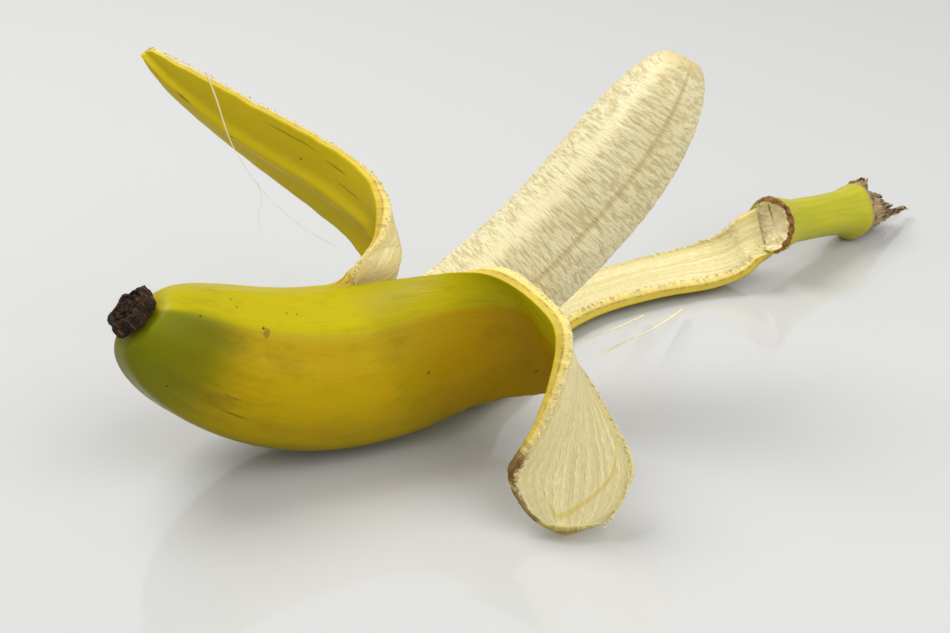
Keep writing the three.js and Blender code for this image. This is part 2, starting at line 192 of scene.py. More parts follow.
STRIPS = {
    "front": {
        "turns": (-52.0, 110.0),
        "blend": 0.14,
        "stations": [
            [near(24, -42, 3.6), near(24, 29, 0.8), near(18, 84, 0.2)],
            [near(31, -40, 9), near(37, 8, 7), near(36, 42, 4.8)],
            [(46.2, -6.8, 15.5), (42.2, -14.3, 31.5), (39.7, -15.8, 41.3)],
            [(47.2, -11.3, 20.5), (45, -18.8, 29.5), (43.7, -24.3, 39)],
            [(50, -18, 22.5), (46.6, -24.1, 25), (42.2, -29.8, 30.5)],
            [(56.4, -25.8, 18.5), (47.6, -28.8, 17.5), (38.2, -32.6, 20.5)],
            [(60.5, -31.5, 12), (47.5, -33.3, 9.5), (34, -33.9, 12.5)],
            [(57.7, -36.5, 5), (47, -37.3, 3.2), (36.8, -36.6, 5)],
            [(52.7, -38.6, 1.3), (46.5, -39.8, 0.2), (41.5, -39.4, 1.2)],
        ],
    },
    "rear": {
        "turns": (110.0, 205.0),
        "blend": 0.16,
        "stations": [
            [(-2.6, 16.5, 30.1), near(7, 155, 3.5), near(4, 205, 3)],
            [(1.2, 19.5, 33.4), (7.7, 22.5, 31.4), (2.2, 27, 22.5)],
            [(4.7, 22.6, 38.8), (7.1, 27, 33.2), (1.2, 31, 27.2)],
            [(5.4, 27, 43.7), (3.6, 31, 37.4), (-2.2, 36, 30.4)],
            [(3.8, 31.5, 47.8), (-1.8, 35.5, 40.3), (-8, 41, 33.7)],
            [(-2.7, 37.5, 51.7), (-9.6, 40, 44.3), (-16.3, 45, 38.8)],
            [(-20.3, 42.5, 60.3), (-27.1, 45, 53.7), (-32.3, 50, 50.4)],
            [(-38.2, 47.5, 68.5), (-41.4, 49, 64.3), (-43.8, 52.5, 60.6)],
            [(-47.2, 51.5, 71.8), (-48.3, 52, 70.6), (-49.9, 54, 68.4)],
        ],
    },
    "stem_side": {
        "turns": (205.0, 308.0),
        "blend": 0.16,
        "stations": [
            [(3.7, 23.2, 8), (17.2, 10.2, 0.5), (33, 8.5, 4)],
            [(18.7, 35.2, 5), (30.7, 23.7, 0), (41.7, 20.7, 2.8)],
            [(33.7, 51.7, 3), (42.7, 42.7, 0), (48.7, 39.7, 2.8)],
            [(49.7, 67.2, 2.6), (55.2, 57.7, 0), (58.7, 51.2, 2.8)],
            [(68.7, 79.2, 2.6), (72.2, 69.2, 0), (74.2, 60.2, 2.8)],
            [(84.7, 85.2, 5), (87.7, 75.2, 0.4), (89.7, 66, 3)],
            [(93.2, 84.2, 11), (96.7, 76.2, 3.5), (97.7, 68.2, 6)],
            [(98.2, 80.7, 19), (101.2, 75.7, 8), (102.2, 69.7, 11.5)],
        ],
    },
}
STRIP_NAMES = list(STRIPS)

stem_turn, stem_dip = math.radians(STEM_HEADING), math.radians(STEM_DROP)
STEM_AXIS = np.array([
    math.cos(stem_dip) * math.cos(stem_turn),
    math.cos(stem_dip) * math.sin(stem_turn),
    -math.sin(stem_dip),
])
last_station = np.array(STRIPS["stem_side"]["stations"][-1])
COLLAR_MIDDLE = (last_station[0] + last_station[2]) / 2 + STEM_AXIS * (COLLAR_GAP + SKIN_WALL)


def curve_through(points, shares):
    """Points at the given shares of a smooth curve through the points (centripetal Catmull-Rom)."""
    points = np.array(points, float)
    before = 2 * points[0] - points[1]
    after = 2 * points[-1] - points[-2]
    padded = np.vstack([before, points, after])
    step = np.clip(np.asarray(shares, float), 0.0, 1.0) * (len(points) - 1)
    index = np.minimum(step.astype(int), len(points) - 2)
    rest = (step - index)[:, None]
    p0, p1, p2, p3 = (padded[index + i] for i in range(4))
    d0, d1, d2 = (
        np.linalg.norm(b - a, axis=1)[:, None] ** 0.5 for a, b in ((p0, p1), (p1, p2), (p2, p3))
    )
    out = ((p1 - p0) / d0 - (p2 - p0) / (d0 + d1) + (p2 - p1) / d1) * d1
    arrive = ((p2 - p1) / d1 - (p3 - p1) / (d1 + d2) + (p3 - p2) / d2) * d1
    return (
        p1 + out * rest
        + (-3 * p1 + 3 * p2 - 2 * out - arrive) * rest ** 2
        + (2 * p1 - 2 * p2 + out + arrive) * rest ** 3
    )


def guide_lines(strip):
    first, last = strip["turns"]
    guides = []
    for column, turn in enumerate((first, (first + last) / 2, last)):
        t = np.array([turn])
        root = root_at(t)
        guides.append([tuple(beside_spine(root, t, skin_radius(root, t))[0])]
                      + [row[column] for row in strip["stations"]])
    return guides


for strip in STRIPS.values():
    strip["guides"] = guide_lines(strip)
    walk = curve_through(strip["guides"][1], np.linspace(0, 1, 400))
    steps = np.linalg.norm(np.diff(walk, axis=0), axis=1)
    strip["walked"] = np.concatenate([[0.0], np.cumsum(steps)])
    strip["length"] = strip["walked"][-1]


def ribbon_point(strip, across, along):
    first, middle, second = (curve_through(guide, along) for guide in strip["guides"])
    across = across[:, None]
    return (
        first * (1 - across) * (1 - 2 * across)
        + middle * 4 * across * (1 - across)
        + second * across * (2 * across - 1)
    )


def ribbon_normal(strip, across, along):
    step = 0.012
    a0, a1 = across - step, across + step
    v0, v1 = np.maximum(along - step, 0), np.minimum(along + step, 1)
    across_way = ribbon_point(strip, a1, along) - ribbon_point(strip, a0, along)
    along_way = ribbon_point(strip, across, v1) - ribbon_point(strip, across, v0)
    normal = np.cross(along_way, across_way)
    return normal / np.linalg.norm(normal, axis=1)[:, None]


def strip_point(strip, across, along, depth):
    """Points of a strip, a depth in from its outer face: it leaves the round of the skin for its ribbon."""
    first, last = strip["turns"]
    turn = first + (last - first) * across
    distance = root_at(turn) + strip["length"] * along
    on_skin = beside_spine(distance, turn, skin_radius(distance, turn) - depth)
    on_ribbon = ribbon_point(strip, across, along) - ribbon_normal(strip, across, along) * depth[:, None]
    leaving = smooth(along / strip["blend"])[:, None]
    return on_skin * (1 - leaving) + on_ribbon * leaving


def press_flat(points, depth):
    """Skin that would sink into the table is pressed flat on it."""
    points[:, 2] = np.maximum(points[:, 2], depth)
    return points


# ---- Mesh helpers ----
def finished(name, bm, material, replaces=()):
    """The mesh as a piece of the object, its faces turned to agree with each other, riding on the fruit."""
    bmesh.ops.recalc_face_normals(bm, faces=bm.faces[:])
    mesh = bpy.data.meshes.new(name)
    bm.to_mesh(mesh)
    bm.free()
    mesh.materials.append(material)
    mesh.shade_smooth()
    piece = bpy.data.objects.new(name, mesh)
    bpy.context.collection.objects.link(piece)
    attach(piece, "root")
    if replaces:
        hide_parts(*replaces)
    return piece


def put(vertices, points):
    """Moves the vertices to points given in millimetres from the belly."""
    for vertex, place in zip(vertices, BELLY + points * MM):
        vertex.co = place


def tube(columns, rows):
    """An open tube of rings, one unit high for each row, round the Z axis."""
    bm = bmesh.new()
    bmesh.ops.create_circle(bm, cap_ends=False, radius=1.0, segments=columns)
    ring = bm.edges[:]
    for _ in range(rows):
        grown = bmesh.ops.extrude_edge_only(bm, edges=ring)["geom"]
        ring = [item for item in grown if isinstance(item, bmesh.types.BMEdge)]
        raised = [item for item in grown if isinstance(item, bmesh.types.BMVert)]
        bmesh.ops.translate(bm, verts=raised, vec=(0.0, 0.0, 1.0))
        raised_set = set(raised)
        ring = [edge for edge in ring if edge.verts[0] in raised_set and edge.verts[1] in raised_set]
    return bm


def close_ring(bm, height):
    """Draws the ring at that height together to one point."""
    ring = [v for v in bm.verts if abs(v.co.z - height) < 0.01]
    for v in ring:
        v.co = (0.0, 0.0, height)
    bmesh.ops.remove_doubles(bm, verts=ring, dist=1e-4)


def closed_tube(columns, rows):
    bm = tube(columns, rows)
    close_ring(bm, 0.0)
    close_ring(bm, float(rows))
    return bm


def ring_places(bm):
    """Every vertex's turn in degrees and its ring, as the tube was made."""
    flat = np.array([v.co for v in bm.verts])
    return np.degrees(np.arctan2(flat[:, 1], flat[:, 0])) % 360.0, flat[:, 2]


# ---- Material helpers ----
class Finish:
    """A material under construction, with short names for the nodes that it uses."""

    def __init__(self, name, **fixed):
        self.material = bpy.data.materials.new(name)
        self.material.use_nodes = True
        self.tree = self.material.node_tree
        self.tree.nodes.clear()
        output = self.tree.nodes.new("ShaderNodeOutputMaterial")
        self.shader = self.tree.nodes.new("ShaderNodeBsdfPrincipled")
        self.tree.links.new(self.shader.outputs["BSDF"], output.inputs["Surface"])
        for socket, value in fixed.items():
            self.shader.inputs[socket.replace("_", " ")].default_value = value

    def feed(self, socket, value):
        if isinstance(value, bpy.types.NodeSocket):
            self.tree.links.new(value, socket)
        else:
            socket.default_value = value

    def set(self, name, value):
        self.feed(self.shader.inputs[name], value)

    def place(self, attribute=None):
        if attribute is None:
            return self.tree.nodes.new("ShaderNodeTexCoord").outputs["Object"]
        node = self.tree.nodes.new("ShaderNodeAttribute")
        node.attribute_name = attribute
        return node.outputs["Vector"]

    def amount(self, attribute):
        node = self.tree.nodes.new("ShaderNodeAttribute")
        node.attribute_name = attribute
        return node.outputs["Fac"]

    def parts(self, vector):
        node = self.tree.nodes.new("ShaderNodeSeparateXYZ")
        self.feed(node.inputs[0], vector)
        return node.outputs["X"], node.outputs["Y"], node.outputs["Z"]

    def stretch(self, vector, scale, shift=(0, 0, 0)):
        node = self.tree.nodes.new("ShaderNodeMapping")
        self.feed(node.inputs["Vector"], vector)
        node.inputs["Scale"].default_value = scale
        node.inputs["Location"].default_value = shift
        return node.outputs[0]

    def noise(self, vector, scale=1.0, detail=3.0, roughness=0.55, distortion=0.0):
        node = self.tree.nodes.new("ShaderNodeTexNoise")
        self.feed(node.inputs["Vector"], vector)
        node.inputs["Scale"].default_value = scale
        node.inputs["Detail"].default_value = detail
        node.inputs["Roughness"].default_value = roughness
        node.inputs["Distortion"].default_value = distortion
        return node.outputs["Fac"]

    def range(self, value, low, high, to_low=0.0, to_high=1.0):
        node = self.tree.nodes.new("ShaderNodeMapRange")
        node.interpolation_type = "SMOOTHSTEP"
        self.feed(node.inputs["Value"], value)
        limits = {"From Min": low, "From Max": high, "To Min": to_low, "To Max": to_high}
        for name, number in limits.items():
            node.inputs[name].default_value = number
        return node.outputs["Result"]

    def maths(self, operation, a, b=0.0):
        node = self.tree.nodes.new("ShaderNodeMath")
        node.operation = operation
        self.feed(node.inputs[0], a)
        self.feed(node.inputs[1], b)
        return node.outputs[0]

    def times(self, a, b):
        return self.maths("MULTIPLY", a, b)

    def plus(self, a, b):
        return self.maths("ADD", a, b)

    def most(self, a, b):
        return self.maths("MAXIMUM", a, b)

    def mix(self, factor, a, b, way="MIX"):
        node = self.tree.nodes.new("ShaderNodeMix")
        node.data_type = "RGBA"
        node.blend_type = way
        self.feed(node.inputs[0], factor)
        self.feed(node.inputs[6], a if isinstance(a, bpy.types.NodeSocket) else (*a, 1.0))
        self.feed(node.inputs[7], b if isinstance(b, bpy.types.NodeSocket) else (*b, 1.0))
        return node.outputs[2]

    def spot(self, vector, centre, radii, ragged=0.5, scale=0.6):
        """1 inside an uneven spot of the given radii round a place, 0 outside it."""
        shift = (-centre[0] / radii[0], -centre[1] / radii[1], 0.0)
        flat = self.stretch(vector, (1 / radii[0], 1 / radii[1], 0.0), shift)
        length = self.tree.nodes.new("ShaderNodeVectorMath")
        length.operation = "LENGTH"
        self.feed(length.inputs[0], flat)
        uneven = self.noise(self.stretch(vector, (scale, scale, 0.0)), detail=4.0, roughness=0.7)
        reach = self.plus(length.outputs["Value"], self.times(self.plus(uneven, -0.5), 2 * ragged))
        return self.range(reach, 1.1, 0.55)

    def bump(self, height, distance, strength=1.0, over=None):
        node = self.tree.nodes.new("ShaderNodeBump")
        self.feed(node.inputs["Height"], height)
        node.inputs["Distance"].default_value = distance
        node.inputs["Strength"].default_value = strength
        if over is not None:
            self.feed(node.inputs["Normal"], over)
        return node.outputs[0]


# ---- Colours ----
SKIN_GOLD = (0.45, 0.295, 0.001)
SKIN_LEMON = (0.40, 0.335, 0.001)
# Green: the flower end's own colour, and also the colour of painted shade on the underside
SKIN_GREEN = (0.165, 0.175, 0.002)
# Painted shade: the orange-brown of skin in shade, warmed by bounced light, under the front strip's arch
SKIN_PAINTED_ARCH_SHADE = (0.40, 0.24, 0.001)
SKIN_PALE = (0.58, 0.45, 0.012)
# Olive: the skin's own mottle and lines, and also the colour of painted shade
SKIN_OLIVE_AND_SHADE = (0.15, 0.115, 0.001)
SKIN_BROWN = (0.075, 0.038, 0.010)
SECTION_YELLOW = (0.68, 0.50, 0.07)
SECTION_CREAM = (0.76, 0.62, 0.22)
LINING_PALE = (0.92, 0.82, 0.48)
LINING_DEEP = (0.64, 0.53, 0.22)
ROT_BROWN = (0.13, 0.055, 0.008)
STRAND_BROWN = (0.34, 0.17, 0.03)
SHEATH_DARK = (0.07, 0.035, 0.016)
SHEATH_MIDDLE = (0.42, 0.29, 0.14)
SHEATH_LIGHT = (0.64, 0.52, 0.33)
FLOWER_DARK = (0.005, 0.003, 0.0025)
FLOWER_MIDDLE = (0.030, 0.015, 0.007)
FLOWER_LIGHT = (0.20, 0.09, 0.03)

# ---- Marks on the skin and the lining: (mm across, mm along), radii, how strong ----
SKIN_MARKS = (
    ((13.6, 25.2), (1.3, 1.0), 0.5), ((14.6, 24.2), (0.45, 0.4), 1.0),
    ((14.2, 7.6), (0.4, 0.4), 0.9), ((23.5, 15.8), (0.4, 0.35), 0.8), ((20.4, 17.2), (0.45, 0.35), 0.7),
    ((20.6, 31.6), (0.35, 0.35), 0.7), ((20.4, 34.5), (0.35, 0.35), 0.7), ((-9.9, 10.5), (0.45, 0.4), 0.8),
    ((-0.6, 67.7), (0.4, 0.4), 0.7), ((-9.3, 92.3), (0.45, 0.45), 0.8),
    ((-5.5, 21.0), (2.4, 4.2), 0.22), ((-8.0, 24.5), (0.35, 3.4), 0.45), ((-3.4, 22.5), (0.3, 2.6), 0.4),
    ((-19.0, 24.0), (0.3, 4.6), 0.8),
    ((49.9, 132.9), (0.6, 2.6), 0.6), ((37.2, 110.0), (0.35, 8.0), 0.5), ((39.0, 97.0), (0.4, 3.6), 0.5),
    ((43.5, 104.0), (0.35, 0.6), 0.7), ((50.8, 118.0), (0.35, 0.5), 0.6), ((43.5, 90.0), (0.4, 5.0), 0.4),
)
LINING_MARKS = (
    ((35.0, 118.0), (4.2, 6.0), 1.0), ((34.0, 127.0), (3.4, 7.0), 0.85), ((27.0, 137.0), (8.0, 2.6), 0.75),
    ((10.0, 140.0), (9.0, 1.6), 0.5),
)


def peel_finish():
    f = Finish("peel_skin_and_lining", Subsurface_Weight=0.06, Subsurface_Scale=0.002, IOR=1.45)
    f.shader.inputs["Subsurface Radius"].default_value = (1.0, 0.6, 0.03)
    place = f.place("peel_place")
    whole = f.place("peel_round")
    green, painted_arch_shade, lemon = f.parts(f.place("peel_tone"))
    _, _, depth = f.parts(place)
    vein = f.amount("peel_vein")
    edge = f.amount("peel_edge")

    # Outer skin: tone by place, with painted shade under the front strip's arch, on the underside, in a
    # band across the body and on the rear strip below its fold, faint lengthwise lines, then the marks
    broad = f.noise(f.stretch(whole, (0.06, 0.06, 0.03)), detail=4.0)
    tone = f.mix(f.range(broad, 0.3, 0.7, 0.0, 0.25), SKIN_GOLD, SKIN_LEMON)
    tone = f.mix(lemon, tone, SKIN_LEMON)
    # Painted shade under the front strip's arch
    tone = f.mix(painted_arch_shade, tone, SKIN_PAINTED_ARCH_SHADE)
    mottle = f.noise(f.stretch(whole, (0.22, 0.22, 0.12)), detail=4.0, roughness=0.65)
    # The green flower end, and painted shade on the underside in the same green
    uneven_green = f.range(f.plus(green, f.times(f.plus(mottle, -0.5), 0.35)), 0.05, 0.95)
    tone = f.mix(uneven_green, tone, SKIN_GREEN)
    tone = f.mix(f.range(mottle, 0.48, 0.8, 0.0, 0.30), tone, SKIN_OLIVE_AND_SHADE)
    # Painted shade: the skin darkened to olive where shade falls
    painted_shade_share = f.times(f.amount("peel_painted_shade"), f.range(mottle, 0.2, 0.75, 0.7, 1.0))
    tone = f.mix(painted_shade_share, tone, SKIN_OLIVE_AND_SHADE)
    lines = f.noise(f.stretch(whole, (1.1, 1.1, 0.07)), detail=3.0, roughness=0.6)
    tone = f.mix(f.range(lines, 0.5, 0.8, 0.0, 0.20), tone, SKIN_OLIVE_AND_SHADE)
    fine = f.noise(f.stretch(whole, (3.0, 3.0, 1.6)), detail=3.0, roughness=0.7)
    tone = f.mix(f.range(fine, 0.56, 0.78, 0.0, 0.16), tone, SKIN_OLIVE_AND_SHADE)
    tone = f.mix(f.amount("peel_pale"), tone, SKIN_PALE)
    for centre, radii, strength in SKIN_MARKS:
        small = min(radii) < 0.6
        mark = f.spot(place, centre, radii, 0.25 if small else 0.7, 1.6 if small else 0.8)
        tone = f.mix(f.times(mark, strength), tone, SKIN_BROWN)

    # Lining: lengthwise fibres, broader ripples, a vein and bruised rims
    fibre = f.noise(f.stretch(place, (1.7, 0.70, 0.0)), detail=5.0, roughness=0.7, distortion=0.6)
    ripple = f.noise(f.stretch(place, (0.42, 0.018, 0.0)), detail=2.0)
    lining = f.mix(f.range(fibre, 0.40, 0.64), LINING_DEEP, LINING_PALE)
    lining = f.mix(0.45, lining, LINING_PALE)
    lining = f.mix(f.range(ripple, 0.38, 0.62, 0.5, 0.0), lining, LINING_DEEP)
    lining = f.mix(f.range(vein, 1.1, 0.3, 0.0, 0.6), lining, SECTION_YELLOW)
    rim = f.range(f.plus(edge, f.times(fibre, 1.4)), 2.4, 0.8)
    lining = f.mix(f.times(rim, 0.75), lining, SECTION_CREAM)

    # Torn section between them, with the broken brown line of its strands
    grain = f.noise(f.stretch(place, (2.0, 2.6, 6.0)), detail=4.0, roughness=0.7)
    section = f.mix(f.range(depth, 0.2, 0.85), SECTION_YELLOW, SECTION_CREAM)
    section = f.mix(f.range(grain, 0.42, 0.75, 0.0, 0.45), section, SKIN_LEMON)
    strand = f.times(f.range(depth, 0.34, 0.44), f.range(depth, 0.58, 0.48))
    broken = f.range(f.noise(f.stretch(place, (0.5, 0.7, 3.0)), detail=5.0, roughness=0.75), 0.36, 0.66)
    section = f.mix(f.times(f.times(strand, broken), 0.8), section, STRAND_BROWN)

    colour = f.mix(f.range(depth, 0.0, 0.12), tone, section)
    colour = f.mix(f.range(f.plus(depth, f.times(f.plus(grain, -0.5), 0.3)), 0.78, 0.98), colour, lining)
    for centre, radii, strength in LINING_MARKS:
        mark = f.times(f.spot(place, centre, radii, 0.9, 0.6), f.range(grain, 0.25, 0.58, 0.6, 1.0))
        mark = f.times(mark, f.range(f.amount("peel_front"), 0.4, 0.6))
        colour = f.mix(f.times(mark, strength), colour, ROT_BROWN)
    f.set("Base Color", colour)
    f.set("Roughness", f.range(depth, 0.0, 0.3, 0.38, 0.75))
    f.set("Specular IOR Level", f.range(depth, 0.0, 0.3, 0.10, 0.25))

    pores = f.noise(f.stretch(whole, (1.4, 1.4, 0.9)), detail=4.0)
    on_skin = f.bump(f.plus(pores, f.times(lines, 0.6)), 0.00010, 0.7)
    inside = f.range(depth, 0.05, 0.6)
    weave = f.times(f.plus(fibre, f.times(ripple, 2.2)), inside)
    f.set("Normal", f.bump(weave, 0.0006, 0.8, over=on_skin))
    return f.material


def pulp_finish():
    f = Finish("pulp_flesh", Roughness=0.55, Subsurface_Weight=0.25, Subsurface_Scale=0.004, IOR=1.4)
    f.shader.inputs["Subsurface Radius"].default_value = (1.0, 0.8, 0.4)
    f.set("Specular IOR Level", 0.3)
    place = f.place("pulp_place")
    seam = f.amount("pulp_seam")
    ribs = f.noise(f.stretch(place, (0.30, 0.30, 1.5)), detail=3.0, roughness=0.55, distortion=0.45)
    dots = f.noise(f.stretch(place, (1.6, 1.6, 2.4)), detail=3.0, roughness=0.7)
    broad = f.noise(f.stretch(place, (0.09, 0.09, 0.03)), detail=3.0)
    ribbed = f.range(seam, 0.0, 1.0, 1.0, 0.35)
    tone = f.mix(f.range(broad, 0.35, 0.7, 0.0, 0.6), (0.74, 0.67, 0.42), (0.66, 0.56, 0.29))
    dark = f.times(f.range(ribs, 0.58, 0.36), ribbed)
    tone = f.mix(f.times(dark, 0.55), tone, (0.42, 0.31, 0.11))
    tone = f.mix(f.times(f.range(dots, 0.55, 0.75), 0.3), tone, (0.80, 0.75, 0.56))
    tone = f.mix(f.range(f.amount("pulp_groove"), 0.0, 1.0, 0.0, 0.5), tone, (0.46, 0.34, 0.13))
    tone = f.mix(f.range(f.amount("pulp_tip"), 0.1, 1.0, 0.0, 0.45), tone, (0.50, 0.36, 0.12))
    f.set("Base Color", tone)
    height = f.plus(f.times(ribs, ribbed), f.times(dots, 0.25))
    f.set("Normal", f.bump(height, 0.0008, 0.8))
    return f.material


def stem_finish():
    f = Finish("stem_green", Roughness=0.42, Subsurface_Weight=0.08, Subsurface_Scale=0.003, IOR=1.45)
    f.set("Specular IOR Level", 0.3)
    place = f.place("stem_place")
    hollow, rim, bare = f.parts(f.place("stem_tone"))
    streak = f.noise(f.stretch(place, (0.9, 0.9, 0.07)), detail=3.0)
    blotch = f.noise(f.stretch(place, (0.3, 0.3, 0.16)), detail=4.0, roughness=0.65)
    tone = f.mix(f.range(streak, 0.3, 0.7), (0.38, 0.37, 0.012), (0.45, 0.41, 0.018))
    tone = f.mix(f.range(blotch, 0.5, 0.75, 0.0, 0.4), tone, (0.46, 0.36, 0.03))
    speck = f.range(f.noise(f.stretch(place, (1.5, 1.5, 1.0)), detail=5.0, roughness=0.75), 0.64, 0.72)
    tone = f.mix(f.times(speck, 0.55), tone, SKIN_BROWN)
    ragged = f.noise(f.stretch(place, (0.7, 0.7, 0.8)), detail=5.0, roughness=0.75)
    flesh = f.mix(f.range(ragged, 0.4, 0.65), (0.84, 0.72, 0.38), (0.92, 0.86, 0.60))
    flesh = f.mix(f.times(f.range(ragged, 0.42, 0.34), 0.8), flesh, (0.30, 0.17, 0.05))
    tone = f.mix(hollow, tone, flesh)
    scab = f.mix(f.range(ragged, 0.35, 0.65), (0.055, 0.022, 0.008), (0.36, 0.17, 0.035))
    tone = f.mix(f.range(f.plus(rim, f.times(f.plus(ragged, -0.5), 0.9)), 0.35, 0.6), tone, scab)
    dry = f.mix(f.range(ragged, 0.35, 0.65), (0.22, 0.12, 0.05), (0.50, 0.38, 0.20))
    tone = f.mix(f.range(f.plus(bare, f.times(f.plus(ragged, -0.5), 0.8)), 0.35, 0.6), tone, dry)
    f.set("Base Color", tone)
    rough = f.plus(f.times(streak, 0.5), f.times(ragged, f.most(rim, f.most(hollow, bare))))
    f.set("Normal", f.bump(rough, 0.0006, 0.8))
    return f.material


def dry_finish(name, dark, middle, light, scale):
    f = Finish(name, Roughness=0.85)
    f.set("Specular IOR Level", 0.25)
    place = f.place()
    rough = f.noise(f.stretch(place, (scale, scale, scale)), detail=6.0, roughness=0.72)
    strands = f.noise(f.stretch(f.place("grain_place"), (1.0, 1.0, 0.12)), scale=2.2, detail=3.0)
    tone = f.mix(f.range(rough, 0.36, 0.56), dark, middle)
    tone = f.mix(f.range(strands, 0.52, 0.70, 0.0, 0.8), tone, light)
    f.set("Base Color", tone)
    f.set("Normal", f.bump(f.plus(rough, strands), 0.0007, 0.9))
    return f.material


def string_finish():
    f = Finish("string_fibre", Roughness=0.5, Subsurface_Weight=0.2, Subsurface_Scale=0.001)
    place = f.place()
    tone = f.noise(f.stretch(place, (400, 400, 400)), detail=2.0)
    f.set("Base Color", f.mix(tone, (0.66, 0.57, 0.30), (0.80, 0.74, 0.50)))
    f.set("Normal", f.bump(tone, 0.0002, 0.5))
    return f.material


# ---- Peel ----
COLUMNS = 144
CUP_ROWS = 52
STRIP_ROWS = 190
TEAR_ANGLES = (110.0, 205.0, 307.5)
LAYERS = (0.0, 0.14, 0.5, 1.0)
CUP_ROW_SPACING = 1.25
STRIP_THINNING = 0.25
FOLD_TURN = 164.0
FOLD_WIDTH = 9.0
FOLD_DEPTH = 1.3
VEIN_REACH = 131.8
VEIN_BEND = 3e-7


def tear_to_turn(angle):
    """The mesh's even columns, moved so that each tear falls on one."""
    marks = [TEAR_ANGLES[-1] - 360, *TEAR_ANGLES, TEAR_ANGLES[0] + 360]
    turns = [TEARS[-1][0] - 360, *(turn for turn, _ in TEARS), TEARS[0][0] + 360]
    return np.interp(angle, marks, turns)


def strip_of(turn):
    """Number of the strip that a turn belongs to, and the turn counted from -52 to 308."""
    counted = (np.asarray(turn) + 52.0) % 360.0 - 52.0
    return np.where(counted < TEARS[0][0], 0, np.where(counted < TEARS[1][0], 1, 2)), counted


